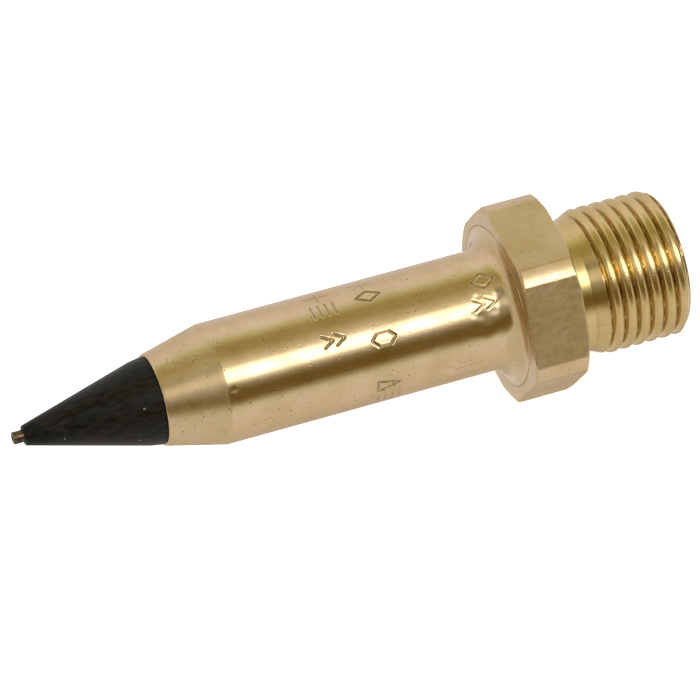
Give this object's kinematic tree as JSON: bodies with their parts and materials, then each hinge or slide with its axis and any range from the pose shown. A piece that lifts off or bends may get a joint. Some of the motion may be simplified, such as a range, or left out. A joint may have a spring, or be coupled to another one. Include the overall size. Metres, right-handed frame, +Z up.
{
  "type": "oil burner nozzle",
  "caption": "Turned brass nozzle with a hexagon and male inlet thread, a tapered black tip with a fine orifice tube, and a sprung anti-drip valve and strainer inside.",
  "frame": {"origin": "centre of the hexagon's rear face, on the nozzle's axis, where the nozzle seats in its holder", "axes": "+X along the nozzle's axis towards the inlet thread, so the spray leaves towards -X; +Z up, square to two of the hexagon's flats"},
  "size_m": [0.0443, 0.0132, 0.012],
  "materials": {
    "body_brass": "bright turned brass, finely brushed on the hexagon, with small pits",
    "black_tip": "satin black heat-resistant polymer with faint drawn streaks",
    "bronze": "darkened bronze tube",
    "copper": "soft copper gasket",
    "steel": "turned stainless steel",
    "spring_steel": "drawn spring wire",
    "inner_brass": "turned brass",
    "bronze_gauze": "fine woven bronze gauze",
    "seal_rubber": "matt black fuel-resistant rubber"
  },
  "bodies": {
    "nozzle": {"nozzle_body": "body_brass", "tip_cone": "black_tip", "orifice_tube": "bronze", "orifice_ferrule": "bronze", "tip_seal": "copper", "swirl_distributor": "steel", "distributor_screw": "inner_brass", "valve_guide": "inner_brass", "spring_washer": "steel", "valve_spring": "spring_steel", "valve_seat": "inner_brass", "seat_seal": "copper", "strainer_gasket": "copper", "strainer_flange": "inner_brass", "strainer_support": "steel", "strainer_gauze": "bronze_gauze", "strainer_cap": "inner_brass", "inlet_lock_ring": "inner_brass"},
    "poppet": {"valve_poppet": "steel", "poppet_seal": "seal_rubber", "poppet_nut": "steel"}
  },
  "joints": [
    {"name": "valve_opening", "type": "slide", "parent": "nozzle", "child": "poppet", "axis": [-1, 0, 0], "range_m": [0, 0.0009], "stiffness_N_per_m": 600, "springref_m": -0.0015, "deforming": ["valve_spring"]}
  ]
}
